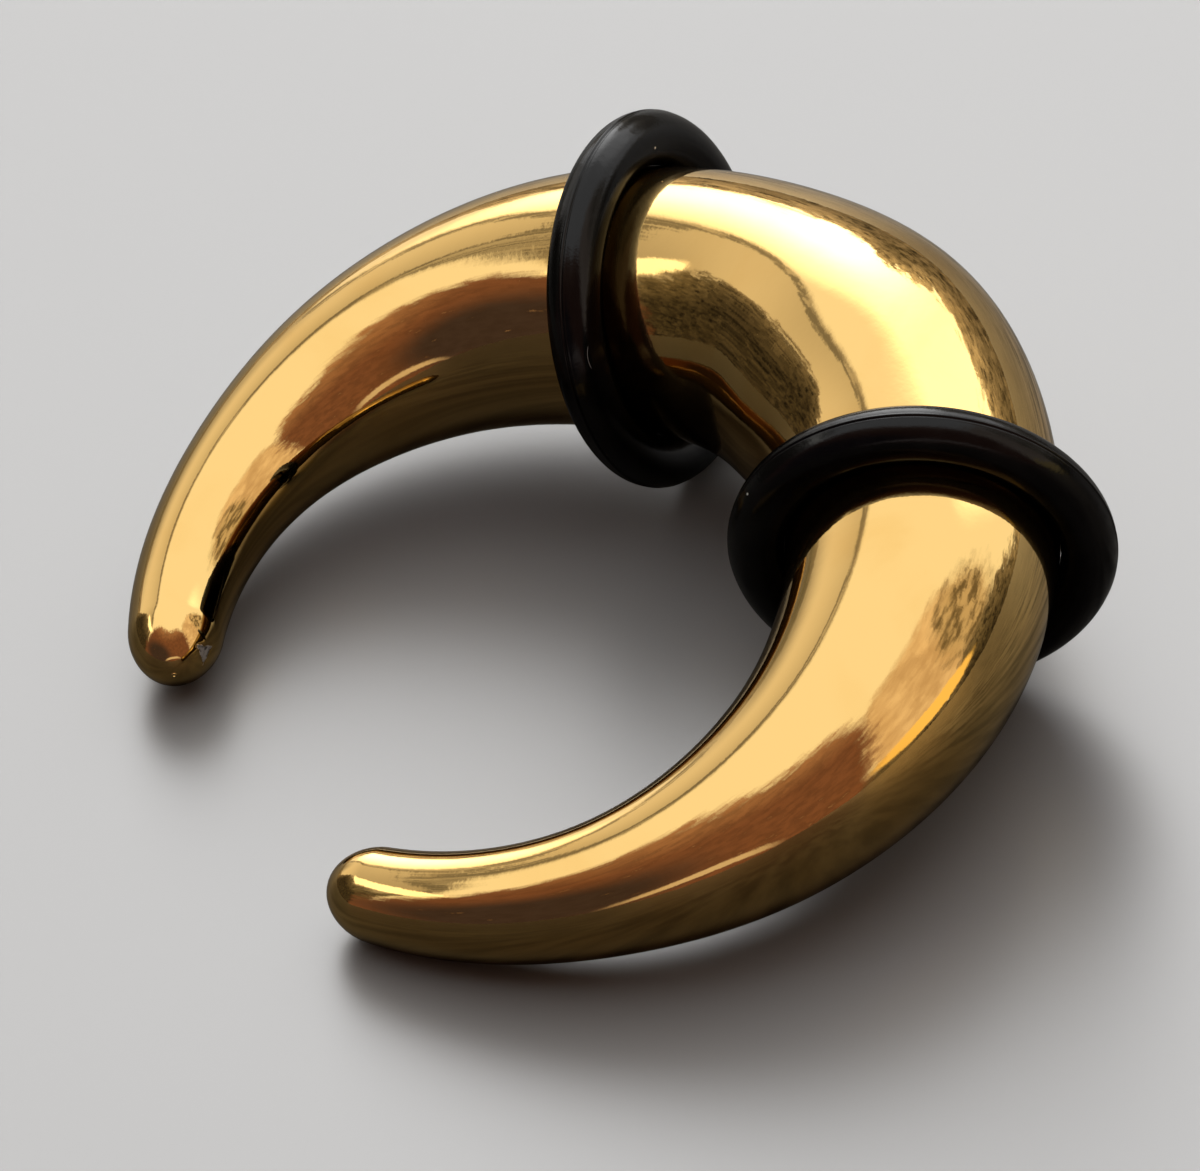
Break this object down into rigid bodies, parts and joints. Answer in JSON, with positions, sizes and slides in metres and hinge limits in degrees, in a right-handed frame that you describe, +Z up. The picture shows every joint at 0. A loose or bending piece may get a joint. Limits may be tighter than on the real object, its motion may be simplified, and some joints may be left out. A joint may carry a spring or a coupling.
{
  "type": "buffalo taper",
  "caption": "Solid crescent-shaped ear taper of gold-coloured polished steel, thick at the back and tapering to blunt tips, held by black rubber rings.",
  "frame": {"origin": "under the middle of the whole part's box, on the surface that it lies on", "axes": "+X runs across the two arms, from the left arm to the right arm; +Y points from the tips to the back; +Z is up as the part lies by itself, on both rings and the right tip"},
  "size_m": [0.0338, 0.0292, 0.0124],
  "materials": {
    "gold_steel": "mirror-polished, gold-coloured coating over steel",
    "black_rubber": "satin black rubber"
  },
  "bodies": {
    "root": {"taper_body": "gold_steel", "o_ring_left": "black_rubber", "o_ring_right": "black_rubber"}
  },
  "joints": []
}
